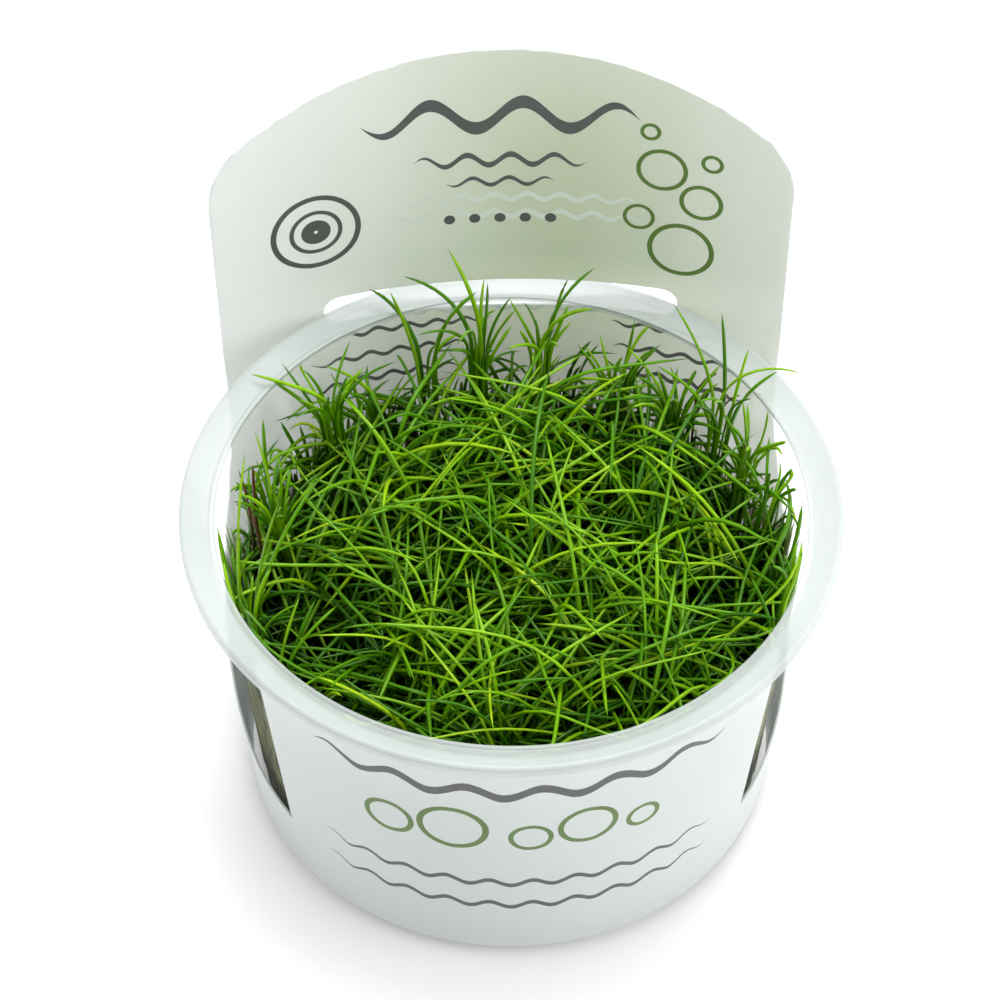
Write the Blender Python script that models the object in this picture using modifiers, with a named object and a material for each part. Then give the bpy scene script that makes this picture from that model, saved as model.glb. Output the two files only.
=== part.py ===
# Dwarf hairgrass in its clear growing cup, inside a paper sleeve whose back rises as an arched card.
# Metres, +Z up. The origin is the centre of the cup's foot, on the surface it stands on; the front faces -Y.
from math import asin, cos, pi, radians, sin, sqrt

import bmesh
import bpy
import numpy as np
from mathutils import Matrix, Vector

# Cup: one moulded piece of clear plastic
CUP_STEPS = 60
WALL = 0.0008
BASE_RADIUS = 0.0422
RIM_RADIUS = 0.0456
RIM_HEIGHT = 0.0571
RIM_ROUND = 0.0006
FLANGE_RADIUS = 0.050
FLANGE_HEIGHT = 0.0586
FLANGE_THICKNESS = 0.0009
FLANGE_ROUND = 0.0005
SKIRT_DROP = 0.0019
FLOOR_HEIGHT = 0.0022
FLOOR_THICKNESS = 0.0010
FLOOR_ROUND = 0.0012
FOOT_WIDTH = 0.0018
FOOT_INSET = 0.0005

# Sleeve: one sheet wrapped round the cup, its back panel left free above the wrapped band
SHEET = 0.0004
GAP = 0.0003
SLEEVE_BOTTOM = 0.0020
BAND_TOP = 0.0140
FRONT_TOP = 0.0555
FRONT_HALF_ANGLE = radians(57.0)
NOTCH_HALF_ANGLE = radians(53.5)
FRONT_CORNER = 0.0050
PANEL_HALF_WIDTH = 0.0463
PANEL_SIDE_BOTTOM = 0.0490
PANEL_TOP = 0.1050
PANEL_ARCH_RADIUS = 0.080
PANEL_CORNER = 0.0115
PANEL_FREE_HEIGHT = 0.0550
PANEL_CURVATURE = 1 / 0.104
SLOT_HALF_WIDTH = 0.0290
SLOT_BOTTOM = 0.0548
SLOT_TOP = 0.0603
SLEEVE_COLUMNS = 80
SLEEVE_ROWS = (BAND_TOP, 0.022, 0.030, 0.038, 0.046, PANEL_FREE_HEIGHT)
FRONT_EDGE = pi - FRONT_HALF_ANGLE - 0.01
SEAM_OVERRUN = 0.05
BLANK_MARGIN = 0.005
TINY = 0.000001

# Hairgrass: tufts in rings, as (count, ring radius, first tuft's angle), each a stem bundle with its blades
TUFT_RINGS = ((1, 0.0, 0.0), (6, 0.0168, 0.35), (12, 0.0330, 0.10))
BUNDLE_RADIUS = 0.0076
BUNDLE_FOOT_SCALE = 0.86
CROWN_HEIGHT = 0.0350
CROWN_JITTER = 0.0020
CROWN_FLATTEN = 0.75
STEM_BREAK = (0.36, 0.42)
BLADES_PER_TUFT = 24
BLADE_LENGTHS = (0.020, 0.040)
BLADE_LEANS = (radians(6.0), radians(62.0))
BLADE_DROOP = 0.30
BLADE_SWING = (0.5, 2.0)
BLADE_STATIONS = (0.30, 0.66, 1.0)
BLADE_WIDTHS = (0.0014, 0.0010, 0.0)
BLADE_ROOT_WIDTH = 0.0034
CANOPY_FRONT = 0.0600
CANOPY_BACK = 0.0755
TRIES_PER_BLADE = 110
LEAST_FACE_RISE = 0.2
SAMPLES = 21
LEAST_OUTWARD = 0.18
ROOT_SAMPLES = 7
PARTING_SAMPLES = 4
BLADE_CLEARANCE = 0.0010
SAMPLE_CLEARANCE = 0.0008
SEED = 41

COLLECTION = "dwarf_hairgrass_cup"


def clear_scene():
    for thing in list(bpy.data.objects):
        bpy.data.objects.remove(thing, do_unlink=True)


def collection(name):
    found = bpy.data.collections.new(name)
    bpy.context.scene.collection.children.link(found)
    return found


def material(name, colour, roughness, alpha=1.0):
    made = bpy.data.materials.new(name)
    made.use_nodes = True
    shader = made.node_tree.nodes["Principled BSDF"]
    shader.inputs["Base Color"].default_value = (*colour, 1.0)
    shader.inputs["Roughness"].default_value = roughness
    shader.inputs["Metallic"].default_value = 0.0
    shader.inputs["Alpha"].default_value = alpha
    made.diffuse_color = (*colour, alpha)
    return made


def add_object(name, mesh, group, finish):
    thing = bpy.data.objects.new(name, mesh)
    group.objects.link(thing)
    mesh.materials.append(finish)
    return thing


def wall_radius(height):
    """Radius of the cup wall's outer face at a height; above the rim the same taper goes on."""
    return BASE_RADIUS + (RIM_RADIUS - BASE_RADIUS) * height / RIM_HEIGHT


def cup_profile():
    """Half section: along the inner floor, up the inner wall, over the flange, down the outer wall."""
    floor_edge = wall_radius(FLOOR_HEIGHT) - WALL
    rim_inner = RIM_RADIUS - WALL
    flange_under = FLANGE_THICKNESS + FLANGE_ROUND
    skirt_bottom = FLANGE_HEIGHT - SKIRT_DROP
    skirt_inner = FLANGE_RADIUS - FLANGE_THICKNESS
    foot_outer = BASE_RADIUS - FOOT_INSET
    foot_inner = foot_outer - FOOT_WIDTH
    under_floor = FLOOR_HEIGHT - FLOOR_THICKNESS
    return [
        (0.0, FLOOR_HEIGHT),
        (floor_edge - FLOOR_ROUND, FLOOR_HEIGHT),
        (floor_edge, FLOOR_HEIGHT + FLOOR_ROUND),
        (rim_inner, RIM_HEIGHT - RIM_ROUND),
        (rim_inner + RIM_ROUND, RIM_HEIGHT),
        (FLANGE_RADIUS - FLANGE_ROUND, FLANGE_HEIGHT),
        (FLANGE_RADIUS, FLANGE_HEIGHT - FLANGE_ROUND),
        (FLANGE_RADIUS, skirt_bottom),
        (skirt_inner, skirt_bottom),
        (skirt_inner, FLANGE_HEIGHT - flange_under),
        (RIM_RADIUS, RIM_HEIGHT - flange_under),
        (wall_radius(under_floor), under_floor),
        (foot_outer, 0.0),
        (foot_inner, 0.0),
        (foot_inner - FOOT_INSET, under_floor),
        (0.0, under_floor),
    ]


def build_cup(group):
    points = cup_profile()
    mesh = bpy.data.meshes.new("cup")
    edges = [(i, i + 1) for i in range(len(points) - 1)]
    mesh.from_pydata([(radius, 0.0, height) for radius, height in points], edges, [])
    cup = add_object("cup", mesh, group, material("clear_plastic", (0.90, 0.94, 0.93), 0.12, 0.35))
    turn = cup.modifiers.new("turn", "SCREW")
    turn.steps = CUP_STEPS
    turn.render_steps = CUP_STEPS
    turn.use_merge_vertices = True
    turn.merge_threshold = 0.00001
    return cup


def sleeve_radius(height):
    """Radius of the sheet's middle surface where it is wrapped on the cup."""
    return wall_radius(height) + GAP + SHEET / 2


def panel_outline():
    """Right half of the back panel's edge from its vertical side up over the arch, as (arc length, height)."""
    arch_centre = PANEL_TOP - PANEL_ARCH_RADIUS
    corner_reach = PANEL_ARCH_RADIUS - PANEL_CORNER
    corner_x = PANEL_HALF_WIDTH - PANEL_CORNER
    corner_z = arch_centre + sqrt(corner_reach**2 - corner_x**2)
    start = asin(corner_x / corner_reach)
    points = []
    for step in range(7):
        turn = pi / 2 - (pi / 2 - start) * step / 6
        points.append((corner_x + PANEL_CORNER * sin(turn), corner_z + PANEL_CORNER * cos(turn)))
    for step in range(1, 9):
        turn = start * (1 - step / 8)
        points.append((PANEL_ARCH_RADIUS * sin(turn), arch_centre + PANEL_ARCH_RADIUS * cos(turn)))
    return points


def window_outline():
    """Edge of the window from the back panel's side down to its tip, as (angle from the back, height)."""
    tip = pi - NOTCH_HALF_ANGLE
    side = PANEL_HALF_WIDTH / sleeve_radius(PANEL_SIDE_BOTTOM)
    points = []
    for step in range(11):
        turn = pi / 2 * (1 - step / 10)
        angle = tip - (tip - side) * sin(turn)
        points.append((angle, PANEL_SIDE_BOTTOM - (PANEL_SIDE_BOTTOM - BAND_TOP) * cos(turn)))
    return points


def front_corner_outline():
    """Edge of the front panel from the window's tip to its rounded top corner, as (angle, height)."""
    tip = pi - NOTCH_HALF_ANGLE
    top = pi - FRONT_HALF_ANGLE
    corner = FRONT_CORNER / sleeve_radius(FRONT_TOP)
    corner_start = (FRONT_TOP - FRONT_CORNER - BAND_TOP) / (FRONT_TOP - BAND_TOP)
    points = []
    for share in (corner_start / 7, corner_start * 0.97):
        points.append((tip + (top - tip) * share, BAND_TOP + (FRONT_TOP - BAND_TOP) * share))
    for step in range(1, 5):
        turn = pi / 2 * step / 4
        points.append((top + corner * (1 - cos(turn)), FRONT_TOP - FRONT_CORNER * (1 - sin(turn))))
    return points


def half_blank():
    """Outline of the flat sheet's right half, from the top of the back panel round to the front seam."""
    panel = [(length / sleeve_radius(height), height) for length, height in panel_outline()]
    seam = [(pi + SEAM_OVERRUN, FRONT_TOP), (pi + SEAM_OVERRUN, SLEEVE_BOTTOM)]
    return panel[::-1] + window_outline() + front_corner_outline() + seam


def slot_outline():
    """Slot with round ends that the flange looks out of, as (angle, height)."""
    middle = (SLOT_TOP + SLOT_BOTTOM) / 2
    end = (SLOT_TOP - SLOT_BOTTOM) / 2
    points = []
    for side in (1, -1):
        for step in range(7):
            turn = -pi / 2 + pi * step / 6
            across = side * (SLOT_HALF_WIDTH - end + end * cos(turn))
            points.append((across / sleeve_radius(middle), middle + side * end * sin(turn)))
    return points


def curve_plate(name, outlines, depth, group):
    """A flat plate of the given depth, standing in the XZ plane, from closed outlines."""
    curve = bpy.data.curves.new(name, "CURVE")
    curve.dimensions = "2D"
    curve.fill_mode = "BOTH"
    curve.extrude = depth / 2
    for outline in outlines:
        spline = curve.splines.new("POLY")
        spline.points.add(len(outline) - 1)
        for point, (across, height) in zip(spline.points, outline):
            point.co = (across, height, 0.0, 1.0)
        spline.use_cyclic_u = True
    thing = bpy.data.objects.new(name, curve)
    group.objects.link(thing)
    thing.rotation_euler = (pi / 2, 0.0, 0.0)
    bpy.context.view_layer.update()
    mesh = bpy.data.meshes.new_from_object(thing.evaluated_get(bpy.context.evaluated_depsgraph_get()))
    mesh.transform(thing.matrix_world)
    bpy.data.objects.remove(thing, do_unlink=True)
    bpy.data.curves.remove(curve)
    return mesh


def split_columns(sheet):
    """Splits every face of the flat sheet at the upright lines that it bends at."""
    for column in range(1, SLEEVE_COLUMNS):
        across = 2 * pi * RIM_RADIUS * (column / SLEEVE_COLUMNS - 0.5)
        everything = sheet.verts[:] + sheet.edges[:] + sheet.faces[:]
        bmesh.ops.bisect_plane(sheet, geom=everything, dist=TINY, plane_co=(across, 0, 0), plane_no=(1, 0, 0))


def flat_columns():
    """The uncut sheet, flat: a thin box along X split into its columns."""
    height = PANEL_TOP + 2 * BLANK_MARGIN
    blank = bmesh.new()
    place = Matrix.Translation((0, 0, PANEL_TOP / 2))
    size = Matrix.Diagonal((2 * pi * RIM_RADIUS, SHEET, height, 1.0))
    bmesh.ops.create_cube(blank, size=1.0, matrix=place @ size)
    split_columns(blank)
    mesh = bpy.data.meshes.new("flat_columns")
    blank.to_mesh(mesh)
    blank.free()
    return mesh


def cut_sheet(group):
    """The flat sheet trimmed to its outline and slot, as a mesh."""
    right = half_blank()
    left = [(-angle, height) for angle, height in reversed(right)]
    outline = [(angle * RIM_RADIUS, height) for angle, height in right + left[:-1]]
    slot = [(angle * RIM_RADIUS, height) for angle, height in slot_outline()]
    blank = bpy.data.objects.new("blank", flat_columns())
    stencil = bpy.data.objects.new("stencil", curve_plate("stencil", [outline, slot], 4 * SHEET, group))
    group.objects.link(blank)
    group.objects.link(stencil)
    trim = blank.modifiers.new("trim", "BOOLEAN")
    trim.operation = "INTERSECT"
    trim.solver = "EXACT"
    trim.object = stencil
    bpy.context.view_layer.update()
    mesh = bpy.data.meshes.new_from_object(blank.evaluated_get(bpy.context.evaluated_depsgraph_get()))
    for thing in (blank, stencil):
        bpy.data.objects.remove(thing, do_unlink=True)
    return mesh


def bend_sheet(angle, offset, height):
    """Place on the wrapped sheet of a point of the flat one: angle from the back centre, offset outwards."""
    radius = sleeve_radius(height)
    length = angle * radius
    free = min(max((height - BAND_TOP) / (PANEL_FREE_HEIGHT - BAND_TOP), 0.0), 1.0)
    if abs(angle) > FRONT_EDGE:
        free = 0.0
    ease = free * free * (3 - 2 * free)
    curvature = (1 - ease) / radius + ease * PANEL_CURVATURE
    turn = length * curvature
    across = sin(turn) / curvature + offset * sin(turn)
    depth = radius - (1 - cos(turn)) / curvature + offset * cos(turn)
    return Vector((across, depth, height))


def build_label_sleeve(group):
    """The cut sheet, its edges split into columns too and its back panel into rows, is wrapped round."""
    mesh = cut_sheet(group)
    mesh.name = "label_sleeve"
    sheet = bmesh.new()
    sheet.from_mesh(mesh)
    split_columns(sheet)
    for height in SLEEVE_ROWS:
        behind = [f for f in sheet.faces if abs(f.calc_center_median().x) < FRONT_EDGE * RIM_RADIUS]
        around = list({e for f in behind for e in f.edges}) + list({v for f in behind for v in f.verts})
        bmesh.ops.bisect_plane(sheet, geom=behind + around, dist=TINY, plane_co=(0, 0, height), plane_no=(0, 0, 1))
    seam = pi * RIM_RADIUS - TINY
    ends = [f for f in sheet.faces if all(abs(v.co.x) > seam for v in f.verts)]
    bmesh.ops.delete(sheet, geom=ends, context="FACES_ONLY")
    for vert in sheet.verts:
        vert.co = bend_sheet(vert.co.x / RIM_RADIUS, vert.co.y, vert.co.z)
    bmesh.ops.remove_doubles(sheet, verts=sheet.verts, dist=0.00001)
    sheet.to_mesh(mesh)
    sheet.free()
    mesh.shade_smooth()
    mesh.set_sharp_from_angle(angle=radians(40))
    return add_object("label_sleeve", mesh, group, material("label_sheet", (0.86, 0.89, 0.84), 0.45))


def tuft_places():
    return [
        (radius * sin(start + 2 * pi * i / count), radius * cos(start + 2 * pi * i / count))
        for count, radius, start in TUFT_RINGS
        for i in range(count)
    ]


def inside_cup(points, widths):
    """True where a blade's sample points keep off the wall, the flange and the panel, under the canopy."""
    x, y, z = points.T
    reach = np.where(z < FLANGE_HEIGHT + BLADE_CLEARANCE, wall_radius(z) - WALL, FLANGE_RADIUS)
    off_wall = np.hypot(x, y) + widths / 2 + BLADE_CLEARANCE < reach
    off_panel = y + widths / 2 + BLADE_CLEARANCE < RIM_RADIUS - x**2 * PANEL_CURVATURE / 2
    canopy = CANOPY_FRONT + (CANOPY_BACK - CANOPY_FRONT) * (y / RIM_RADIUS + 1) / 2
    return bool(np.all(off_wall & off_panel & (z < canopy)))


def clear_of_bundles(points, widths, own, centres):
    """True where a blade's points leave their crown upwards and keep off the other tufts' stems."""
    crown_top = CROWN_HEIGHT + CROWN_JITTER
    if np.any(points[ROOT_SAMPLES:, 2] < crown_top):
        return False
    low = points[:, 2] < crown_top + widths / 2 + GAP
    for index, centre in enumerate(centres):
        near = np.hypot(*(points[:, :2] - centre).T) < BUNDLE_RADIUS + widths / 2 + 2 * GAP
        if index != own and np.any(near & low):
            return False
    return True


def clear_of_blades(points, widths, own, grown):
    """True where a blade's points keep off all blades so far; those of one tuft draw apart from their roots."""
    steps = np.arange(SAMPLES)
    drawn_apart = np.minimum(np.minimum.outer(steps, steps) / PARTING_SAMPLES, 1.0)
    for tuft, other, sizes in grown:
        apart = np.linalg.norm(points[:, None] - other[None], axis=2)
        room = (widths[:, None] + sizes[None]) / 2 + SAMPLE_CLEARANCE
        if np.any(apart < room * (drawn_apart if tuft == own else 1.0)):
            return False
    return True


def leaves_face(stations, face):
    """True where every stretch of a blade runs outwards from the face that it grows from."""
    runs = np.diff(stations, axis=0)
    outwards = runs @ np.array(face.normal) / np.linalg.norm(runs, axis=1)
    return bool(np.all(outwards > LEAST_OUTWARD))


def blade_path(base, heading, length, lean, droop):
    """Stations of an arching blade: it leans over along its heading and droops towards its tip."""
    outward = np.array((np.cos(heading), np.sin(heading), 0.0))
    stations = [base]
    for share in BLADE_STATIONS:
        run = share * np.sin(lean) + droop * share**2
        rise = share * np.cos(lean) - droop / 2 * share**2
        stations.append(base + length * (outward * run + np.array((0.0, 0.0, rise))))
    return np.array(stations)


def sample_path(stations):
    """Points at even shares along a blade, with the blade's width at each."""
    shares = np.array((0.0, *BLADE_STATIONS))
    places = np.linspace(0.0, 1.0, SAMPLES)
    points = np.stack([np.interp(places, shares, stations[:, axis]) for axis in range(3)], axis=1)
    return points, np.interp(places, shares, (BLADE_ROOT_WIDTH, *BLADE_WIDTHS))


def grow_blade(sheaf, face, stations):
    """Extrudes one face of the bundle along the stations and closes it in a point."""
    for place, width in zip(stations[1:], BLADE_WIDTHS):
        made = bmesh.ops.extrude_discrete_faces(sheaf, faces=[face])
        face = made["faces"][0]
        middle = face.calc_center_median()
        size = sqrt(face.calc_area())
        for vert in face.verts:
            vert.co = Vector(place) + (vert.co - middle) * width / size
    bmesh.ops.pointmerge(sheaf, verts=face.verts[:], merge_co=face.verts[0].co)


def stem_bundle(rng):
    """Stem bundle: a sphere whose lower half is drawn down to the cup's floor and stands flat on it."""
    sheaf = bmesh.new()
    bmesh.ops.create_icosphere(sheaf, subdivisions=2, radius=BUNDLE_RADIUS)
    floor = FLOOR_HEIGHT + GAP
    crown = CROWN_HEIGHT + rng.uniform(-CROWN_JITTER, CROWN_JITTER)
    shoulder = crown - BUNDLE_RADIUS * CROWN_FLATTEN
    turn = Matrix.Rotation(rng.uniform(0, 2 * pi), 3, "Z")
    for vert in sheaf.verts:
        side = Vector((vert.co.x, vert.co.y, 0.0))
        level = vert.co.z / BUNDLE_RADIUS
        if level > 0.1:
            height = shoulder + vert.co.z * CROWN_FLATTEN
        elif level > -0.1:
            height = shoulder - rng.uniform(0, CROWN_JITTER)
        elif level > -0.7:
            height = floor + (crown - floor) * rng.uniform(*STEM_BREAK)
            side = side.normalized() * BUNDLE_RADIUS
        else:
            height = floor
            side = side.normalized() * BUNDLE_RADIUS * BUNDLE_FOOT_SCALE if side.length > TINY else side
        vert.co = turn @ (side * rng.uniform(0.93, 1.0)) + Vector((0.0, 0.0, height))
    sheaf.normal_update()
    return sheaf


def blade_faces(sheaf, rng):
    """The faces of a crown that blades grow from, in the order in which they grow."""
    top = [face for face in sheaf.faces if face.normal.z > LEAST_FACE_RISE]
    return [top[i] for i in rng.permutation(len(top))[:BLADES_PER_TUFT]]


def add_blade(sheaf, face, index, centres, grown, rng):
    """Tries blades from a crown's face, ever shorter and further round, until one finds room."""
    offset = np.array((*centres[index], 0.0))
    base = np.array(face.calc_center_median()) + offset
    facing = np.arctan2(face.normal.y, face.normal.x)
    for attempt in range(TRIES_PER_BLADE):
        tired = attempt / TRIES_PER_BLADE
        swing = BLADE_SWING[0] + (BLADE_SWING[1] - BLADE_SWING[0]) * tired
        length = rng.uniform(*BLADE_LENGTHS) * (1.0 - tired / 2)
        lean = rng.uniform(*BLADE_LEANS)
        droop = BLADE_DROOP * rng.uniform(0.3, 1.0) * sin(lean)
        stations = blade_path(base, facing + rng.normal(0.0, swing), length, lean, droop)
        points, widths = sample_path(stations)
        room = leaves_face(stations, face) and inside_cup(points, widths)
        room = room and clear_of_bundles(points, widths, index, centres)
        if room and clear_of_blades(points, widths, index, grown):
            grown.append((index, points, widths))
            grow_blade(sheaf, face, stations - offset)
            return


def build_hairgrass(group):
    """The tufts take turns to grow a blade, so that none takes the room of its neighbours."""
    rng = np.random.default_rng(SEED)
    finish = material("hairgrass", (0.16, 0.36, 0.04), 0.45)
    centres = tuft_places()
    sheaves = [stem_bundle(rng) for _ in centres]
    crowns = [blade_faces(sheaf, rng) for sheaf in sheaves]
    grown = []
    for turn in range(BLADES_PER_TUFT):
        for index, sheaf in enumerate(sheaves):
            if turn < len(crowns[index]):
                add_blade(sheaf, crowns[index][turn], index, centres, grown, rng)
    for index, sheaf in enumerate(sheaves):
        mesh = bpy.data.meshes.new(f"tuft_{index + 1:02d}")
        sheaf.to_mesh(mesh)
        sheaf.free()
        add_object(mesh.name, mesh, group, finish).location = (*centres[index], 0.0)


def main():
    clear_scene()
    group = collection(COLLECTION)
    build_cup(group)
    build_label_sleeve(group)
    build_hairgrass(group)


main()
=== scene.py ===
from math import cos, pi, radians, sin

import bpy
import numpy as np
from mathutils import Euler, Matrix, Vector


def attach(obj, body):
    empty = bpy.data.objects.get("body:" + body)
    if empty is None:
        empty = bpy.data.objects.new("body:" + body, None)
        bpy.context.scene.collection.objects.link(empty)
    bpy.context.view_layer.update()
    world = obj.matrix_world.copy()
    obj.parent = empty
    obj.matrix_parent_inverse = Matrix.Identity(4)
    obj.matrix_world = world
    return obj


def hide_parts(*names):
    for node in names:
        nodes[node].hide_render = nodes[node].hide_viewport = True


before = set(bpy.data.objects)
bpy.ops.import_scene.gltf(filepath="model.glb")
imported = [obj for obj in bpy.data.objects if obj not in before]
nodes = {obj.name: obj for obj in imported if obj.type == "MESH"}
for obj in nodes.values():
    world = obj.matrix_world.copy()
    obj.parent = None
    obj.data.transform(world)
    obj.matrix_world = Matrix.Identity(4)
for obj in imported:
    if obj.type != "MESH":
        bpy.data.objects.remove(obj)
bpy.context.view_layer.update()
rimHeight = .0571  # inner edge of the flange
goldenTurn = 2.39996  # radians from one sprout to the next, which spreads them evenly
print("frame loaded:", len(nodes), "nodes")


# Small helpers
def deselectAll():
    if bpy.context.object and bpy.context.object.mode != "OBJECT":
        bpy.ops.object.mode_set(mode="OBJECT")
    bpy.ops.object.select_all(action="DESELECT")


def pickOnly(thing):
    deselectAll()
    thing.select_set(True)
    bpy.context.view_layer.objects.active = thing


def applyAll(thing):
    pickOnly(thing)
    for modifier in list(thing.modifiers):
        bpy.ops.object.modifier_apply(modifier=modifier.name)


def footCentre(node):
    # middle of the part of a CAD node that stands on the cup's floor
    low = min(v.co.z for v in nodes[node].data.vertices)
    foot = [v.co for v in nodes[node].data.vertices if v.co.z < low + .0005]
    return sum(foot, Vector()) / len(foot)


# Materials: a few node helpers and then one function for each finish
def newMaterial(name, colour, roughness, **sockets):
    material = bpy.data.materials.new(name)
    material.use_nodes = True
    shader = material.node_tree.nodes["Principled BSDF"]
    shader.inputs["Base Color"].default_value = (*colour, 1)
    shader.inputs["Roughness"].default_value = roughness
    for socket, value in sockets.items():
        shader.inputs[socket.replace("_", " ")].default_value = value
    return material, material.node_tree, shader


def addNode(tree, kind, **settings):
    node = tree.nodes.new("ShaderNode" + kind)
    for setting, value in settings.items():
        setattr(node, setting, value)
    return node


def maths(tree, operation, *values):
    node = addNode(tree, "Math", operation=operation)
    for place, value in enumerate(values):
        if isinstance(value, (int, float)):
            node.inputs[place].default_value = value
        else:
            tree.links.new(value, node.inputs[place])
    return node.outputs[0]


def ramp(tree, factor, stops):
    node = addNode(tree, "ValToRGB")
    steps = node.color_ramp.elements
    while len(steps) < len(stops):
        steps.new(1)
    for step, (place, colour) in zip(steps, stops):
        step.position = place
        step.color = (*colour, 1)
    tree.links.new(factor, node.inputs[0])
    return node.outputs[0]


def blendColour(tree, factor, first, second, mode="MIX"):
    node = addNode(tree, "Mix", data_type="RGBA", blend_type=mode)
    for place, value in ((0, factor), (6, first), (7, second)):
        if isinstance(value, (int, float)):
            node.inputs[place].default_value = value
        elif isinstance(value, tuple):
            node.inputs[place].default_value = (*value, 1)
        else:
            tree.links.new(value, node.inputs[place])
    return node.outputs[2]


def objectPlace(tree):
    # object coordinates and their x, y and z
    place = addNode(tree, "TexCoord").outputs["Object"]
    parts = addNode(tree, "SeparateXYZ")
    tree.links.new(place, parts.inputs[0])
    return place, parts.outputs


def noise(tree, place, scale, detail=3.0):
    node = addNode(tree, "TexNoise")
    node.inputs["Scale"].default_value = scale
    node.inputs["Detail"].default_value = detail
    tree.links.new(place, node.inputs["Vector"])
    return node.outputs[0]


def addBump(tree, shader, height, strength, distance):
    node = addNode(tree, "Bump")
    node.inputs["Strength"].default_value = strength
    node.inputs["Distance"].default_value = distance
    tree.links.new(height, node.inputs["Height"])
    tree.links.new(node.outputs[0], shader.inputs["Normal"])


# Camera: a long lens looking down on the front, a touch from the left
viewpoint = dict(
    lens=93.6, sensor=36, azimuth=-2.6, elevation=48.57, distance=.3927,
    target=(0, 0, rimHeight), pitch=.12, yaw=.25, roll=.41,
)


def placeCamera(spec):
    across, up = radians(spec["azimuth"]), radians(spec["elevation"])
    back = Vector((sin(across) * cos(up), -cos(across) * cos(up), sin(up)))
    bpy.ops.object.camera_add(location=Vector(spec["target"]) + back * spec["distance"])
    camera = bpy.context.object
    turn = Euler([radians(spec[axis]) for axis in ("pitch", "yaw", "roll")]).to_quaternion()
    camera.rotation_euler = ((-back).to_track_quat("-Z", "Y") @ turn).to_euler()
    camera.data.lens = spec["lens"]
    camera.data.sensor_width = spec["sensor"]
    camera.data.clip_start = .01
    bpy.context.scene.camera = camera


# Studio: pale surroundings, a pale floor, soft boxes on both sides and one overhead
studio = dict(
    floorSize=6, floorColour=(.95, .95, .95), floorGlow=.22,
    surroundings=(1, 1, 1), surroundingsStrength=.45,
    lights=[  # name, place, size, watts
        ("rightBox", (.62, -.25, .40), .50, 2.0),
        ("leftBox", (-.66, .02, .34), .50, .6),
        ("topBox", (.06, .16, .80), .45, 4.8),
        ("backBox", (.10, .75, .34), .60, 1.3),
    ],
)


def buildStudio(spec):
    scene = bpy.context.scene
    scene.view_settings.view_transform = "Standard"
    world = bpy.data.worlds.new("surroundings")
    world.use_nodes = True
    glow = world.node_tree.nodes["Background"]
    glow.inputs[0].default_value = (*spec["surroundings"], 1)
    glow.inputs[1].default_value = spec["surroundingsStrength"]
    scene.world = world
    deselectAll()
    bpy.ops.mesh.primitive_plane_add(size=spec["floorSize"])
    floor = bpy.context.object
    floor.name = "floor"
    material, _, shader = newMaterial("paleFloor", spec["floorColour"], .9)  # a light table's sheet
    shader.inputs["Emission Color"].default_value = (1, 1, 1, 1)
    shader.inputs["Emission Strength"].default_value = spec["floorGlow"]
    floor.data.materials.append(material)
    for name, place, size, watts in spec["lights"]:
        bpy.ops.object.light_add(type="AREA", location=place)
        light = bpy.context.object
        light.name = name
        light.data.size = size
        light.data.energy = watts
        aim = Vector((0, 0, .05)) - Vector(place)
        light.rotation_euler = aim.to_track_quat("-Z", "Y").to_euler()


# Cup: rings of (radius, height), from the middle of the floor up the inner wall, over the flange and down
cupLook = dict(
    segments=144,
    rings=[
        (.0060, .0022), (.0404, .0022), (.0416, .0034), (.0444, .0528), (.0448, .0532), (.0448, .0572),
        (.0451, .0575), (.0455, .0575), (.0458, .0572), (.0490, .0584), (.0494, .0586), (.0500, .0583),
        (.0500, .0567), (.0491, .0567), (.0491, .0572), (.0456, .0557), (.0453, .0528), (.0423, .0012),
        (.0417, .0000), (.0399, .0000), (.0394, .0012), (.0060, .0012),
    ],
    edgeRound=.00022, milkyFrom=.0457, milkyTop=.0571, edgeFrom=.0446, edgeTo=.0450, edgeHeight=.0570,
    outsideFrom=.0420, outward=.3,  # a face of the wall's outside points outwards at least this much
    wall=dict(colour=(.78, .82, .79), roughness=.12, opacity=.07, gloss=.3),
    outside=dict(colour=(.60, .64, .58), roughness=.12, opacity=.05, gloss=.0),
    flange=dict(colour=(.69, .745, .73), roughness=.26, opacity=.65, gloss=.5),
    edge=dict(colour=(.36, .41, .39), roughness=.20, opacity=.55, gloss=.5),
)


def clearPlastic(spec, name):
    # thin clear moulding: what is behind shows straight through it, alike from every side
    material, tree, shader = newMaterial(
        name, spec["colour"], spec["roughness"],
        Alpha=spec["opacity"], IOR=1.45, Specular_IOR_Level=spec["gloss"])
    place, _ = objectPlace(tree)
    haze = noise(tree, place, 70, 2)
    cloud = tuple(c * .93 for c in spec["colour"])
    colour = ramp(tree, haze, [(.35, cloud), (.65, spec["colour"])])
    tree.links.new(colour, shader.inputs["Base Color"])
    addBump(tree, shader, noise(tree, place, 40, 1), .05, .0006)
    return material


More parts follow.
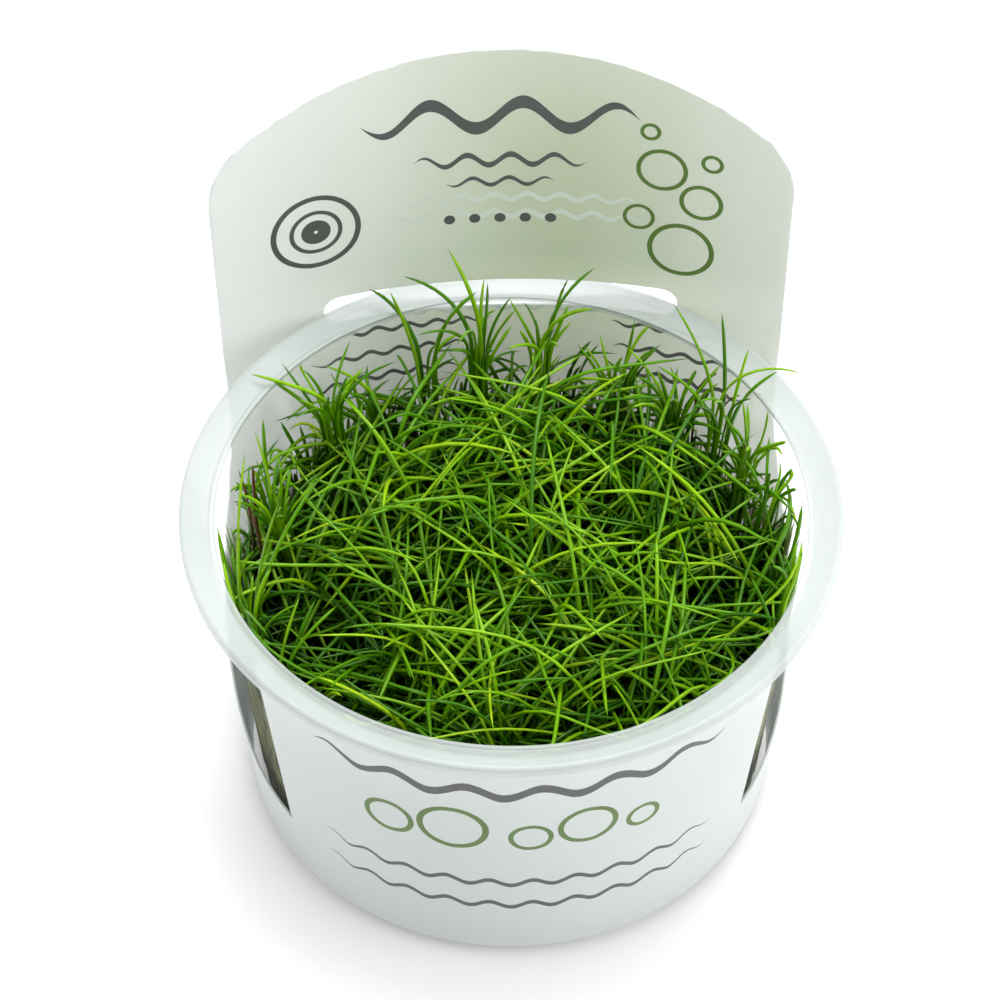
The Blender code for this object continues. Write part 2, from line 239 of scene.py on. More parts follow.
def buildCup(spec):
    deselectAll()
    rings = spec["rings"]
    bpy.ops.mesh.primitive_circle_add(
        vertices=spec["segments"], radius=rings[0][0], location=(0, 0, rings[0][1]), fill_type="NGON")
    cup = bpy.context.object
    cup.name = "cup_clear"
    bpy.ops.object.transform_apply(location=True, rotation=True, scale=True)
    bpy.ops.object.mode_set(mode="EDIT")
    bpy.ops.mesh.select_mode(type="EDGE")
    bpy.ops.mesh.select_all(action="SELECT")
    for (radius, height), (wider, higher) in zip(rings, rings[1:]):
        bpy.ops.mesh.extrude_edges_move(TRANSFORM_OT_translate={"value": (0, 0, higher - height)})
        grow = wider / radius
        bpy.ops.transform.resize(value=(grow, grow, 1), center_override=(0, 0, higher))
    bpy.ops.mesh.edge_face_add()
    bpy.ops.mesh.select_all(action="SELECT")
    bpy.ops.mesh.normals_make_consistent(inside=False)
    bpy.ops.object.mode_set(mode="OBJECT")
    bpy.ops.object.modifier_add(type="BEVEL")
    cup.modifiers[-1].width = spec["edgeRound"]
    cup.modifiers[-1].segments = 2
    cup.modifiers[-1].angle_limit = radians(25)
    applyAll(cup)
    bpy.ops.object.shade_smooth_by_angle(angle=radians(40))
    for part in ("wall", "flange", "edge", "outside"):
        cup.data.materials.append(clearPlastic(spec[part], part + "Plastic"))
    for face in cup.data.polygons:
        away = Vector(face.center.xy).length
        onEdge = spec["edgeFrom"] < away < spec["edgeTo"] and face.center.z > spec["edgeHeight"]
        milky = away > spec["milkyFrom"] or face.center.z > spec["milkyTop"]
        outer = away > spec["outsideFrom"] and face.normal.dot(face.center) > spec["outward"] * away
        face.material_index = 2 if onEdge else 1 if milky else 3 if outer else 0
    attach(cup, "root")
    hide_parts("cup")
    print("cup built:", len(cup.data.polygons), "faces")


# Sleeve: a copy of the CAD sheet, with a print of waves and bubbles. Places and sizes in metres: across the
# card and up it, or round the front and up it.
sleeveLook = dict(
    # painted shade: the front panel and the unprinted faces take a darker copy of the sheet's colour
    colour=(.86, .91, .88), shadedSheetColour=(.69, .75, .725), roughness=.42, through=.70, throughDepth=.0015,
    # painted shade and light: shade and backShade darken and green the card low in the middle and set the
    # tone of its inner back
    shade=(.53, .58, .45), backShade=(.80, .86, .63),
    shadeMiddle=(.010, .078), shadeReach=.056, shadeSlope=.55, shadeFrom=.54, shadeTo=.66, cardScale=.1,
    greyInk=(.085, .09, .09), greenInk=(.10, .19, .03), ghostInk=(.60, .66, .60), backInk=(.045, .05, .045),
    frontRadius=.0455, backRadius=.0450, cardInkFrom=.060, mergeWithin=.00002,
    cardWaves=[  # centre across, up, half width, amplitude, wavelength, thickness
        (0, .0930, .0215, .0024, .0143, .0024),
        (0, .0845, .0135, .0010, .0068, .0011),
        (0, .0803, .0085, .0007, .0057, .0008),
    ],
    cardRings=[  # centre across, up, radius, thickness
        (-.0290, .0745, .0066, .0009), (-.0290, .0745, .0038, .0007), (-.0290, .0745, .0013, .0020),
    ],
    cardBubbles=[  # rings in the green ink
        (.0285, .0690, .0048, .0008), (.0218, .0745, .0022, .0006), (.0312, .0790, .0030, .0007),
        (.0250, .0842, .0036, .0007), (.0325, .0868, .0014, .0006), (.0230, .0912, .0013, .0006),
    ],
    cardDots=[(-.0080 + .0040 * i, .0730, .0009) for i in range(5)],
    ghostWaves=[(.003, .0772, .0195, .0006, .0052, .0010), (.003, .0738, .0210, .0006, .0052, .0010)],
    backGhosts=[(.0020, .0545, .0180, .0005, .0046, .0008)],
    backWaves=[
        (-.0160, .0520, .0150, .0005, .0046, .0008), (-.0175, .0472, .0125, .0005, .0046, .0008),
        (-.0190, .0424, .0130, .0005, .0046, .0008), (.0260, .0520, .0085, .0005, .0046, .0008),
        (.0275, .0472, .0095, .0005, .0046, .0008), (.0290, .0424, .0100, .0005, .0046, .0008),
    ],
    frontWaves=[
        (0, .0466, .0330, .0012, .0110, .0020),
        (0, .0215, .0335, .0007, .0067, .0011),
        (0, .0150, .0335, .0007, .0067, .0011),
    ],
    frontBubbles=[
        (-.0205, .0350, .0036, .0009), (-.0105, .0362, .0050, .0010), (.0012, .0345, .0030, .0008),
        (.0098, .0362, .0042, .0009), (.0186, .0345, .0024, .0008),
    ],
)


def waveMask(tree, across, up, wave):
    centre, height, half, swing, pitch, thick = wave
    along = maths(tree, "SUBTRACT", across, centre)
    phase = maths(tree, "MULTIPLY", along, 2 * pi / pitch)
    crest = maths(tree, "MULTIPLY", maths(tree, "SINE", phase), swing)
    off = maths(tree, "ABSOLUTE", maths(tree, "SUBTRACT", maths(tree, "SUBTRACT", up, height), crest))
    ends = maths(tree, "POWER", maths(tree, "DIVIDE", along, half), 4)  # the line narrows towards its ends
    width = maths(tree, "MULTIPLY", maths(tree, "SUBTRACT", 1.0, ends), thick / 2)
    return maths(tree, "LESS_THAN", off, width)


def ringMask(tree, across, up, ring):
    centre, height, radius, thick = ring
    side = maths(tree, "POWER", maths(tree, "SUBTRACT", across, centre), 2)
    rise = maths(tree, "POWER", maths(tree, "SUBTRACT", up, height), 2)
    away = maths(tree, "SQRT", maths(tree, "ADD", side, rise))
    off = maths(tree, "ABSOLUTE", maths(tree, "SUBTRACT", away, radius))
    return maths(tree, "LESS_THAN", off, thick / 2)


def allMasks(tree, masks):
    total = masks[0]
    for mask in masks[1:]:
        total = maths(tree, "MAXIMUM", total, mask)
    return total


def sheetMaterial(spec, name, print_):
    material, tree, shader = newMaterial(name, spec["colour"], spec["roughness"])
    place, (x, y, z) = objectPlace(tree)
    # painted shade: a darker copy of the sheet's colour for the front panel and the unprinted faces
    plain = spec["shadedSheetColour"]
    mottle = ramp(tree, noise(tree, place, 22, 2), [(.3, (.96, .96, .96)), (.7, (1, 1, 1))])
    if print_ in ("card", "back"):
        # painted shade and green light bounced from the turf: a beige tint, strongest low in the middle, over
        # all the standing part
        side = maths(tree, "SUBTRACT", x, spec["shadeMiddle"][0])
        rise = maths(tree, "MULTIPLY", maths(tree, "SUBTRACT", z, spec["shadeMiddle"][1]), spec["shadeSlope"])
        away = maths(tree, "ADD", maths(tree, "POWER", side, 2), maths(tree, "POWER", rise, 2))
        away = maths(tree, "DIVIDE", maths(tree, "SQRT", away), spec["shadeReach"])
        up = maths(tree, "DIVIDE", z, spec["cardScale"])
        paintedShade = ramp(tree, up, [(spec["shadeFrom"], spec["backShade"]), (spec["shadeTo"], spec["shade"])])
        outwards = ramp(tree, away, [(.1, (0, 0, 0)), (.95, (1, 1, 1))])
        plain = blendColour(tree, outwards, paintedShade, spec["colour"])
    paper = blendColour(tree, 1.0, plain, mottle, "MULTIPLY")
    shader.inputs["Subsurface Weight"].default_value = spec["through"]
    shader.inputs["Subsurface Radius"].default_value = (1, 1, 1)
    shader.inputs["Subsurface Scale"].default_value = spec["throughDepth"]
    if print_ == "card":
        ghost = allMasks(tree, [waveMask(tree, x, z, wave) for wave in spec["ghostWaves"]])
        paper = blendColour(tree, ghost, paper, spec["ghostInk"])
        grey = [waveMask(tree, x, z, wave) for wave in spec["cardWaves"]]
        grey += [ringMask(tree, x, z, ring) for ring in spec["cardRings"]]
        grey += [ringMask(tree, x, z, (dot[0], dot[1], 0, 2 * dot[2])) for dot in spec["cardDots"]]
        green = [ringMask(tree, x, z, ring) for ring in spec["cardBubbles"]]
    elif print_ == "front":
        turn = maths(tree, "ARCTAN2", x, maths(tree, "MULTIPLY", y, -1))
        around = maths(tree, "MULTIPLY", turn, spec["frontRadius"])
        grey = [waveMask(tree, around, z, wave) for wave in spec["frontWaves"]]
        green = [ringMask(tree, around, z, ring) for ring in spec["frontBubbles"]]
    elif print_ == "back":
        turn = maths(tree, "ARCTAN2", x, y)
        around = maths(tree, "MULTIPLY", turn, spec["backRadius"])
        ghost = allMasks(tree, [waveMask(tree, around, z, wave) for wave in spec["backGhosts"]])
        paper = blendColour(tree, ghost, paper, spec["ghostInk"])
        grey = [waveMask(tree, around, z, wave) for wave in spec["backWaves"]]
        paper = blendColour(tree, allMasks(tree, grey), paper, spec["backInk"])
    if print_ in ("card", "front"):
        paper = blendColour(tree, allMasks(tree, grey), paper, spec["greyInk"])
        paper = blendColour(tree, allMasks(tree, green), paper, spec["greenInk"])
    tree.links.new(paper, shader.inputs["Base Color"])
    addBump(tree, shader, noise(tree, place, 900, 2), .12, .0002)
    return material


def buildSleeve(spec):
    deselectAll()
    sleeve = bpy.data.objects.new("sleeve_printed", nodes["label_sleeve"].data.copy())
    bpy.context.collection.objects.link(sleeve)
    pickOnly(sleeve)
    bpy.ops.object.mode_set(mode="EDIT")
    bpy.ops.mesh.select_all(action="SELECT")
    bpy.ops.mesh.remove_doubles(threshold=spec["mergeWithin"])
    bpy.ops.object.mode_set(mode="OBJECT")
    bpy.ops.object.shade_smooth_by_angle(angle=radians(40))
    bpy.ops.object.modifier_add(type="WEIGHTED_NORMAL")
    sleeve.modifiers[-1].keep_sharp = True
    applyAll(sleeve)
    sleeve.data.materials.clear()
    for name in ("plain", "card", "front", "back"):
        sleeve.data.materials.append(sheetMaterial(spec, "sheet" + name.title(), name))
    for face in sleeve.data.polygons:
        out = Vector((face.center.x, face.center.y, 0)).normalized().dot(face.normal)
        if face.center.y > 0 and face.normal.y < -.5:
            face.material_index = 1 if face.center.z > spec["cardInkFrom"] else 3
        elif face.center.y < 0 and out > .5:
            face.material_index = 2
    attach(sleeve, "root")
    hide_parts("label_sleeve")
    print("sleeve built:", len(sleeve.data.polygons), "faces")


# Hairgrass: each tuft is a core of roots and stems, plantlets fanning out of it, and stems along the wall
grass = dict(
    seed=7, plants=7, tuftSpread=.0086, plantRadius=.0013, crown=(.020, .032), floor=.0026,
    twist=.42, sides=4, stemSteps=2, bladeSteps=11, rootInset=.965,
    # painted shade: the lower layer's darker tones stand in for the shade under the top blades
    layers=[  # the short dark blades below and the long bright ones on top
        dict(blades=9, length=(.020, .034), lean=(5, 45), fall=(10, 60), spare=(-.018, -.006),
             width=(.00046, .00080), tone=(0, .56)),
        dict(blades=6, length=(.034, .054), lean=(6, 40), fall=(25, 95), spare=(-.005, .0045),
             width=(.00052, .00088), tone=(.16, .97)),
    ],
    strands=135, strandWidth=(.0006, .0012), strandTop=(.026, .042), strandInset=(.0001, .0009),
    strandRise=.010, strandLayer=.0013, layerEnd=(.040, .050), strandSpan=pi / 11, strandsFrom=.025,
    coreRadius=.0066, coreTop=.020,
    roots=70, rootReach=(.003, .011), rootHeight=(.004, .017), rootWidth=(.0007, .0013),
    plantReach=.0390, crownBelow=.014, overHollow=.0045, overShare=.15,
    wallInner=.0414, wallTaper=.0595, wallGap=.0006, cardFront=.0446, cardRadius=.104,
    flangeFrom=.0438, flangeReach=.0490, flangeTop=.0594, flangeClear=.0008,
)
canopy = dict(  # how high the turf stands
    height=.0560, rise=.0035, riseOver=.033, ease=.0100, tallShare=.10, tallExtra=.006,
    wallDrop=.0125, dropFrom=.0240, dropTo=.0370, dropSide=(-.25, .30), dropLeft=.35,
    lumps=((.0040, 210, 190, 1.3), (.0032, 390, -330, 2.1)), hollowFrom=.005,
    hollows=[  # x, y, radius, depth
        (.0300, -.0040, .0070, .0190), (-.0290, -.0120, .0065, .0170), (-.0060, -.0060, .0050, .0120),
        (.0120, .0100, .0045, .0100), (-.0180, .0080, .0045, .0110), (.0140, -.0220, .0045, .0110),
    ],
)
sheaves = dict(  # upright bunches by the wall, each fanning out into a star at the rim
    places=[  # x, y, height of the star, blades, longest blade, bearing and last lean of the longest
        (.0345, .0225, .0555, 12, .023, -24, 108), (.0380, .0157, .0555, 12, .015, -16, 105),
        (.0405, .0071, .0550, 7, .013, 20, 95), (.0425, -.0107, .0545, 11, .012, 30, 60),
        (-.0035, .0386, .0550, 12, .022, 172, 45), (.0066, .0388, .0560, 13, .019, -5, 80),
        (-.0121, .0376, .0530, 5, .022, 185, 20), (-.0278, .0256, .0560, 14, .018, 205, 112),
        (-.0360, .0074, .0520, 14, .019, 95, 25), (-.0405, -.0090, .0470, 6, .032, 86, 42),
        (.0190, .0345, .0490, 12, .018, 60, 60), (.0275, .0280, .0510, 13, .018, 160, 80),
        (-.0200, .0320, .0470, 7, .017, 200, 60), (-.0398, -.0140, .0480, 5, .022, 150, 80),
        (.0405, -.0175, .0500, 7, .016, 70, 60),
    ],
    width=(.00048, .00080), spread=.0015, shortest=.40, lean=(18, 96), foot=.87, drop=.0058,
    small=20, smallFrom=-50, smallTo=215, smallHeight=(.036, .047), smallLength=(.010, .020), offWall=.0022,
)
deadBlades = [  # x, y, height of the foot, heading, length, last lean
    (-.0400, .0060, .046, 1.9, .012, 30), (-.0395, .0085, .048, 1.2, .009, 20),
    (.0345, .0262, .047, -.9, .010, 70), (.0310, .0300, .048, -.6, .009, 60),
    (.0370, .0180, .047, -1.2, .010, 70), (-.0385, .0030, .044, 2.4, .009, 45),
]
shades = dict(
    tone=[
        (.00, (.032, .155, .0008)), (.30, (.084, .290, .0010)), (.62, (.170, .440, .0016)),
        (.86, (.300, .620, .0045)), (.95, (.430, .700, .0080)),
        (.985, (.430, .680, .008)), (.995, (.120, .046, .016)),
    ],
    # painted shade: blades darker towards the cup's floor, standing in for the shade deep in the turf
    depth=[(.0, (.03, .06, .04)), (.35, (.08, .14, .08)), (.62, (.34, .46, .34)), (.86, (1, 1, 1))],
    tip=[(.93, (1, 1, 1)), (.99, (.50, .52, .60))],
    depthFrom=.006, depthTo=.058, roughness=.27, specular=.30,
    strand=[
        (.0, (.060, .062, .018)), (.35, (.130, .150, .045)),
        (.7, (.190, .225, .070)), (1, (.300, .330, .130)),
    ],
    strandTop=[(.75, (1, 1, 1)), (1, (.60, 1.10, .35))], strandHeight=.050,
)


def hairgrassMaterial(spec):
    material, tree, shader = newMaterial("hairgrass", spec["tone"][2][1], spec["roughness"])
    shader.inputs["Specular IOR Level"].default_value = spec["specular"]
    mapNode = addNode(tree, "UVMap", uv_map="bladeMap")
    uv = addNode(tree, "SeparateXYZ")
    tree.links.new(mapNode.outputs[0], uv.inputs[0])
    place, parts = objectPlace(tree)
    # painted shade: the depth ramp darkens the blades by their height in the cup
    height = maths(tree, "SUBTRACT", parts[2], spec["depthFrom"])
    height = maths(tree, "DIVIDE", height, spec["depthTo"] - spec["depthFrom"])
    colour = ramp(tree, uv.outputs[0], spec["tone"])
    colour = blendColour(tree, 1.0, colour, ramp(tree, height, spec["depth"]), "MULTIPLY")
    colour = blendColour(tree, 1.0, colour, ramp(tree, uv.outputs[1], spec["tip"]), "MULTIPLY")
    mottle = ramp(tree, noise(tree, place, 420), [(.3, (.80, .82, .80)), (.7, (1.12, 1.08, 1.0))])
    tree.links.new(blendColour(tree, 1.0, colour, mottle, "MULTIPLY"), shader.inputs["Base Color"])
    return material


def wallStemMaterial(spec):
    material, tree, shader = newMaterial("wallStems", spec["strand"][2][1], .45)
    mapNode = addNode(tree, "UVMap", uv_map="bladeMap")
    uv = addNode(tree, "SeparateXYZ")
    tree.links.new(mapNode.outputs[0], uv.inputs[0])
    place, parts = objectPlace(tree)
    greener = ramp(tree, maths(tree, "DIVIDE", parts[2], spec["strandHeight"]), spec["strandTop"])
    colour = blendColour(tree, 1.0, ramp(tree, uv.outputs[0], spec["strand"]), greener, "MULTIPLY")
    mottle = ramp(tree, noise(tree, place, 260), [(.35, (.70, .66, .60)), (.65, (1.1, 1.1, 1.0))])
    tree.links.new(blendColour(tree, 1.0, colour, mottle, "MULTIPLY"), shader.inputs["Base Color"])
    return material


def wallRadius(z):
    return grass["wallInner"] + grass["wallTaper"] * np.minimum(z, rimHeight) - grass["wallGap"]


def smooth(value, low, high):
    share = np.clip((value - low) / (high - low), 0, 1)
    return share * share * (3 - 2 * share)


def hollowAt(x, y):
    return sum(depth * np.exp(-((x - midX) ** 2 + (y - midY) ** 2) / size ** 2)
               for midX, midY, size, depth in canopy["hollows"])


def crossesHollow(points, spare):
    # how far a blade stands above the turf over a hollow
    x, y, z = points[:, 3:, 0], points[:, 3:, 1], points[:, 3:, 2]
    over = z - canopyAt(x, y) - spare[:, None]
    return np.where(hollowAt(x, y) > canopy["hollowFrom"], over, -1).max(1)


def canopyAt(x, y):
    # height of the turf's top: uneven, with hollows, and low along the wall at the back and the left
    spec = canopy
    radius = np.hypot(x, y) + 1e-9
    top = spec["height"] + spec["rise"] * y / spec["riseOver"] - hollowAt(x, y)
    for swing, across, up, start in spec["lumps"]:
        top = top + swing * np.sin(across * x + start) * np.sin(up * y + start)
    bearing = y / radius - spec["dropLeft"] * x / radius
    byWall = smooth(radius, spec["dropFrom"], spec["dropTo"])
    return top - spec["wallDrop"] * smooth(bearing, *spec["dropSide"]) * byWall


def stepInside(old, new, spare):
    # one step of a blade: it flattens under the canopy, slides along the wall and lies over the flange
    room = np.clip((canopyAt(old[:, 0], old[:, 1]) + spare - old[:, 2]) / canopy["ease"], .04, 1)
    rise = new[:, 2] - old[:, 2]
    new[:, 2] = old[:, 2] + np.where(rise > 0, rise * room, rise)
    radius = np.hypot(new[:, 0], new[:, 1]) + 1e-9
    over = old[:, 2] > rimHeight + grass["flangeClear"]
    onFlange = over & (radius > grass["flangeFrom"])
    new[:, 2] = np.where(onFlange, np.maximum(new[:, 2], grass["flangeTop"]), new[:, 2])
    stems = grass["strandLayer"] * (1 - smooth(new[:, 2], *grass["layerEnd"]))  # room for the wall's stems
    reach = np.where(over, grass["flangeReach"], wallRadius(new[:, 2]) - stems)
    new[:, :2] *= np.minimum(reach / radius, 1)[:, None]
    card = grass["cardFront"] - new[:, 0] ** 2 / (2 * grass["cardRadius"])
    new[:, 1] = np.where(over, np.minimum(new[:, 1], card), new[:, 1])
    return new


def bladePaths(rng, roots, crowns, heading, leans, length, spare):
    # a straight stem from each root to its crown, then an arc that leans over
    count = len(roots)
    stem, steps = grass["stemSteps"], grass["bladeSteps"]
    points = np.zeros((count, stem + steps + 1, 3))
    for step in range(stem + 1):
        points[:, step] = roots + (crowns - roots) * step / stem
    bend = rng.uniform(.7, 1.8, count)
    twist = rng.normal(0, grass["twist"], count)
    for step in range(1, steps + 1):
        share = (step - .5) / steps
        lean = leans[0] + (leans[1] - leans[0]) * share ** bend
        way = heading + twist * share
        move = np.stack([np.sin(lean) * np.cos(way), np.sin(lean) * np.sin(way), np.cos(lean)], 1)
        old = points[:, stem + step - 1]
        points[:, stem + step] = stepInside(old, old + move * (length / steps)[:, None], spare)
    for _ in range(3):
        inner = points[:, 2:-1]
        points[:, 2:-1] = inner * .5 + (points[:, 1:-2] + points[:, 3:]) * .25
    return points


def tubes(points, widths, sides):
    # closed tubes along the paths, pointed at the end: corner places and faces
    count, steps, _ = points.shape
    along = np.gradient(points, axis=1)
    along /= np.linalg.norm(along, axis=2, keepdims=True) + 1e-12
    side = np.cross(along, np.array([.31, .17, .93]))
    side /= np.linalg.norm(side, axis=2, keepdims=True) + 1e-12
    up = np.cross(along, side)
    turn = 2 * pi * np.arange(sides) / sides
    ring = side[:, :, None] * np.cos(turn)[:, None] + up[:, :, None] * np.sin(turn)[:, None]
    corners = points[:, :, None] + ring * widths[:, :, None, None] / 2
    body = corners[:, :-1].reshape(count, -1, 3)
    verts = np.concatenate([body, points[:, -1:]], 1)
    each = verts.shape[1]
    i, j = np.arange(steps - 2)[:, None], np.arange(sides)[None]
    k = (j + 1) % sides
    quads = np.stack([i * sides + j, i * sides + k, (i + 1) * sides + k, (i + 1) * sides + j], 2)
    quads = quads.reshape(-1, 4)
    last = (steps - 2) * sides
    tips = [(last + j, last + (j + 1) % sides, each - 1) for j in range(sides)]
    base = [tuple(range(sides))[::-1]]
    faces = [tuple(int(v) for v in face) for face in quads] + tips + base
    return verts.reshape(-1, 3), faces, each


def addTubes(store, points, widths, sides, tone, finish=0):
    verts, faces, each = tubes(points, widths, sides)
    start = store["count"]
    store["verts"].append(verts)
    store["count"] += len(verts)
    for blade in range(len(points)):
        shift = start + blade * each
        store["faces"] += [tuple(v + shift for v in face) for face in faces]
    store["finish"] += [finish] * (len(points) * len(faces))
    along = np.repeat(np.linspace(0, 1, points.shape[1])[:-1], sides)
    along = np.append(along, 1.0)
    store["along"].append(np.tile(along, len(points)))
    store["tone"].append(np.repeat(tone, each))


def bladeWidths(rng, count, steps, low, high):
    share = np.linspace(0, 1, steps)
    taper = np.interp(share, (0, .45, .85, .95, 1), (.92, 1.0, .84, .52, .10))
    return rng.uniform(low, high, count)[:, None] * taper


def growPlants(rng, store, centre):
    spec = grass
    for plant in range(spec["plants"]):
        reach = spec["tuftSpread"] * np.sqrt((plant + .5) / spec["plants"])
        way = plant * goldenTurn + rng.uniform(0, .8)
        middle = np.array([centre.x + reach * cos(way), centre.y + reach * sin(way)])
        middle *= min(1, spec["plantReach"] / np.hypot(*middle))
        crownZ = min(rng.uniform(*spec["crown"]), canopyAt(*middle) - spec["crownBelow"])
        widening = 1 + spec["wallTaper"] * crownZ / spec["wallInner"]
        inwards = np.arctan2(-middle[1], -middle[0])
        byWall = smooth(np.hypot(*middle), .026, .038)
        shade = rng.normal(0, .09)
        for layer in spec["layers"]:
            count = layer["blades"]
            turn = rng.uniform(0, 2 * pi, count)
            spread = spec["plantRadius"] * np.sqrt(rng.uniform(0, 1, count))
            offset = np.stack([np.cos(turn) * spread, np.sin(turn) * spread], 1)
            low = rng.uniform(.004, .010, (count, 1))
            top = crownZ + rng.uniform(-.003, .003, (count, 1))
            roots = np.concatenate([(middle + offset * 1.6) * spec["rootInset"], low], 1)
            crowns = np.concatenate([middle * widening + offset, top], 1)
            # blades by the wall lean away from it
            heading = turn + rng.normal(0, .5, count)
            away = rng.uniform(0, 1, count) < byWall * .8
            heading = np.where(away, inwards + rng.normal(0, .9, count), heading)
            first = rng.uniform(*layer["lean"], count)
            leans = np.radians([first, first + rng.uniform(*layer["fall"], count)])
            spare = rng.uniform(*layer["spare"], count)
            spare += np.where(rng.uniform(0, 1, count) < canopy["tallShare"], canopy["tallExtra"], 0)
            length = rng.uniform(*layer["length"], count)
            points = bladePaths(rng, roots, crowns, heading, leans, length, spare)
            widths = bladeWidths(rng, count, points.shape[1], *layer["width"])
            tone = np.clip(rng.uniform(*layer["tone"], count) + shade, 0, .97)
            fits = crossesHollow(points, spare) < spec["overHollow"]
            keep = fits | (rng.uniform(0, 1, count) < spec["overShare"])
            addTubes(store, points[keep], widths[keep], spec["sides"], tone[keep])


def smallSheaves():
    # short bunches between the tall ones, all along the wall but at the front
    rng = np.random.default_rng(grass["seed"] + 1)
    spec = sheaves
    places = []
    for bunch in range(spec["small"]):
        share = (bunch + rng.uniform(.2, .8)) / spec["small"]
        way = radians(spec["smallFrom"] + (spec["smallTo"] - spec["smallFrom"]) * share)
        top = rng.uniform(*spec["smallHeight"])
        away = wallRadius(top) - spec["offWall"]
        length = rng.uniform(*spec["smallLength"])
        bearing = np.degrees(way) + 180 + rng.uniform(-80, 80)
        blades, lean = rng.integers(8, 14), rng.uniform(30, 90)
        places.append((away * cos(way), away * sin(way), top, blades, length, bearing, lean))
    return places


def growSheaf(rng, store, place):
    x, y, starZ, count, longest, bearing, lastLean = place
    spec = sheaves
    middle = np.array([x, y])
    turn = np.arange(count) * goldenTurn + rng.uniform(0, 6)
    spread = spec["spread"] * np.sqrt(rng.uniform(.1, 1, count))
    offset = np.stack([np.cos(turn) * spread, np.sin(turn) * spread], 1)
    low = rng.uniform(.006, .012, (count, 1))
    top = starZ - spec["drop"] + rng.uniform(-.004, .002, (count, 1))
    roots = np.concatenate([middle * spec["foot"] + offset * 1.4, low], 1)
    crowns = np.concatenate([middle + offset, top], 1)
    lengths = longest * rng.uniform(spec["shortest"], 1, count)
    leans = np.radians([rng.uniform(0, 10, count), rng.uniform(*spec["lean"], count)])
    heading = turn + rng.normal(0, .3, count)
    lengths[0], heading[0], leans[1][0] = longest, radians(bearing), radians(lastLean)
    points = bladePaths(rng, roots, crowns, heading, leans, lengths, np.full(count, .05))
    widths = bladeWidths(rng, count, points.shape[1], *spec["width"])
    tone = rng.uniform(.15, .85, count)
    tone[0] = .84
    addTubes(store, points, widths, grass["sides"], tone)


def growDeadBlade(rng, store, place):
    x, y, z, heading, length, lean = place
    roots, crowns = np.array([[x, y, z - .02]]), np.array([[x, y, z]])
    leans = np.radians([[4], [lean]])
    points = bladePaths(rng, roots, crowns, np.array([heading]), leans, np.array([length]), np.array([.05]))
    addTubes(store, points, bladeWidths(rng, 1, points.shape[1], .0004, .0006), 4, np.array([1.0]))


def growStrands(rng, store, centre):
    # olive stems pressed along the wall, taller at the sides and the front than at the back
    spec = grass
    count, steps = spec["strands"], 6
    middle = np.arctan2(centre.y, centre.x)
    top = rng.uniform(*spec["strandTop"], count)
    low = rng.uniform(spec["floor"], .006, count)
    way = middle + rng.uniform(-spec["strandSpan"], spec["strandSpan"], count)
    top += spec["strandRise"] * smooth(-np.sin(way), -.35, -.05)
    z = low[:, None] + (top - low)[:, None] * np.linspace(0, 1, steps)
    angle = way[:, None] + np.cumsum(rng.normal(0, .014, (count, steps)), 1)
    inset = rng.uniform(*spec["strandInset"], count)[:, None]
    widths = bladeWidths(rng, count, steps, *spec["strandWidth"])
    radius = wallRadius(z) + spec["wallGap"] - widths / 2 - inset
    points = np.stack([np.cos(angle) * radius, np.sin(angle) * radius, z], 2)
    addTubes(store, points, widths, 3, rng.uniform(0, 1, count), 1)


def growCore(store, centre):
    # the roots and lower stems that fill the middle of a tuft
    spec = grass
    heights = np.array([spec["floor"], .008, .015, .021, spec["coreTop"], spec["coreTop"] + .0015])
    widths = np.array([[.84, .96, 1, .92, .6, 0]]) * 2 * spec["coreRadius"]
    points = np.stack([np.full(6, centre.x), np.full(6, centre.y), heights], 1)[None]
    addTubes(store, points, widths, 14, np.array([.1]))


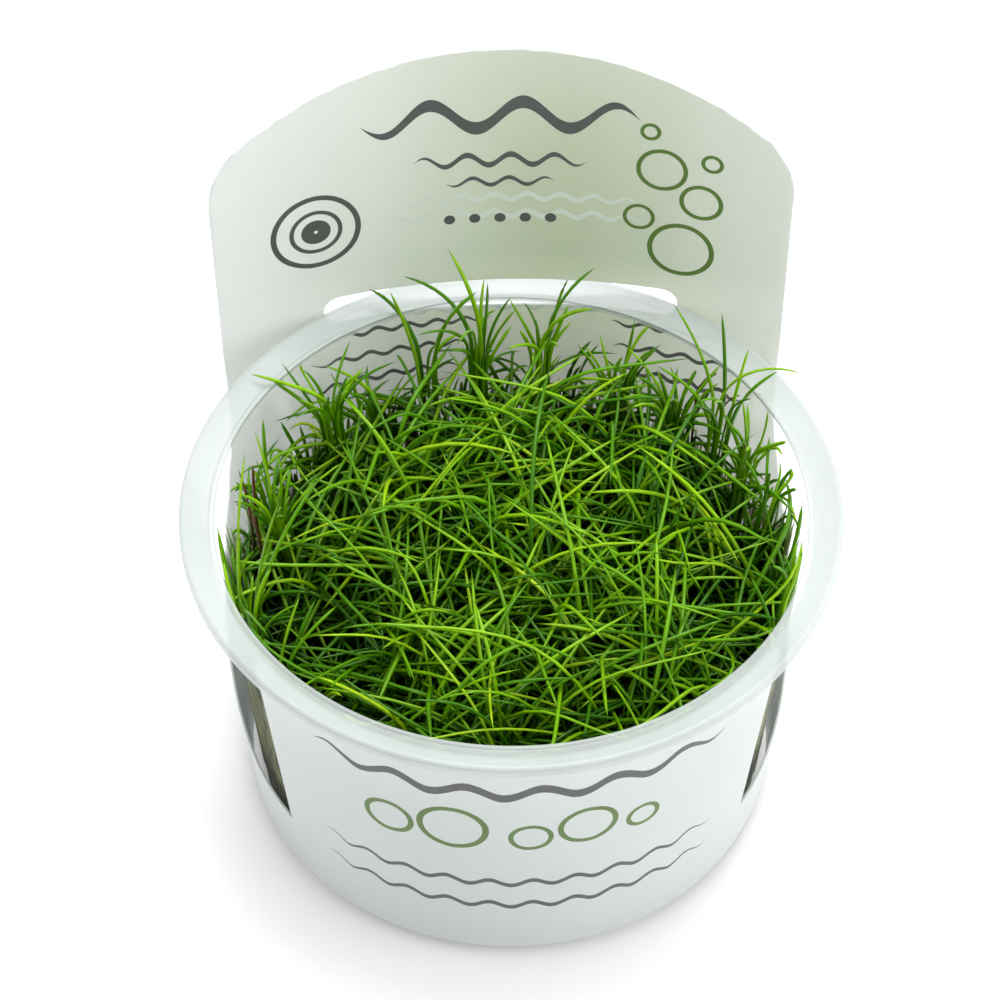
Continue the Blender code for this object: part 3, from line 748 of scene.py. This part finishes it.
def growRoots(rng, store, centre):
    # fine roots that run out over the cup's floor between the tufts
    spec = grass
    count, steps = spec["roots"], 5
    way = rng.uniform(0, 2 * pi, count)
    start = spec["coreRadius"] * .7
    reach = start + rng.uniform(*spec["rootReach"], count)
    share = np.linspace(0, 1, steps)
    angle = way[:, None] + np.cumsum(rng.normal(0, .16, (count, steps)), 1)
    away = start + (reach - start)[:, None] * share
    x, y = centre.x + np.cos(angle) * away, centre.y + np.sin(angle) * away
    high = rng.uniform(*spec["rootHeight"], count)
    low = spec["floor"] + .0012
    z = low + (high[:, None] - low) * (1 - share * rng.uniform(.1, .9, (count, 1)))
    inside = np.minimum((wallRadius(z) - .0014) / (np.hypot(x, y) + 1e-9), 1)
    points = np.stack([x * inside, y * inside, z], 2)
    addTubes(store, points, bladeWidths(rng, count, steps, *spec["rootWidth"]), 3, rng.uniform(0, .3, count))


def buildTuft(node, finishes, rng, owned):
    centre = footCentre(node)
    store = dict(verts=[], faces=[], along=[], tone=[], finish=[], count=0)
    growCore(store, centre)
    growRoots(rng, store, centre)
    growPlants(rng, store, centre)
    if Vector((centre.x, centre.y)).length > grass["strandsFrom"]:
        growStrands(rng, store, centre)
    for place in owned["sheaves"]:
        growSheaf(rng, store, place)
    for place in owned["dead"]:
        growDeadBlade(rng, store, place)
    mesh = bpy.data.meshes.new(node + "_blades")
    mesh.from_pydata(np.concatenate(store["verts"]), [], store["faces"])
    tone, along = np.concatenate(store["tone"]), np.concatenate(store["along"])
    corner = np.zeros(len(mesh.loops), np.int32)
    mesh.loops.foreach_get("vertex_index", corner)
    uv = mesh.uv_layers.new(name="bladeMap")
    uv.data.foreach_set("uv", np.stack([tone[corner], along[corner]], 1).ravel())
    mesh.shade_smooth()
    for finish in finishes:
        mesh.materials.append(finish)
    mesh.polygons.foreach_set("material_index", np.array(store["finish"], np.int32))
    tuft = bpy.data.objects.new(node + "_blades", mesh)
    bpy.context.collection.objects.link(tuft)
    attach(tuft, "root")
    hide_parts(node)
    return len(mesh.polygons)


def nearestTuft(place, centres):
    return min(centres, key=lambda node: (centres[node].xy - Vector(place[:2])).length)


def buildGrass():
    finishes = [hairgrassMaterial(shades), wallStemMaterial(shades)]
    rng = np.random.default_rng(grass["seed"])
    tufts = sorted(node for node in nodes if node.startswith("tuft"))
    centres = {node: footCentre(node) for node in tufts}
    faces = 0
    bunches = sheaves["places"] + smallSheaves()
    for node in tufts:
        owned = dict(
            sheaves=[place for place in bunches if nearestTuft(place, centres) == node],
            dead=[place for place in deadBlades if nearestTuft(place, centres) == node])
        faces += buildTuft(node, finishes, rng, owned)
    print("hairgrass grown:", faces, "faces in", len(tufts), "tufts")


placeCamera(viewpoint)
buildStudio(studio)
buildCup(cupLook)
buildSleeve(sleeveLook)
buildGrass()
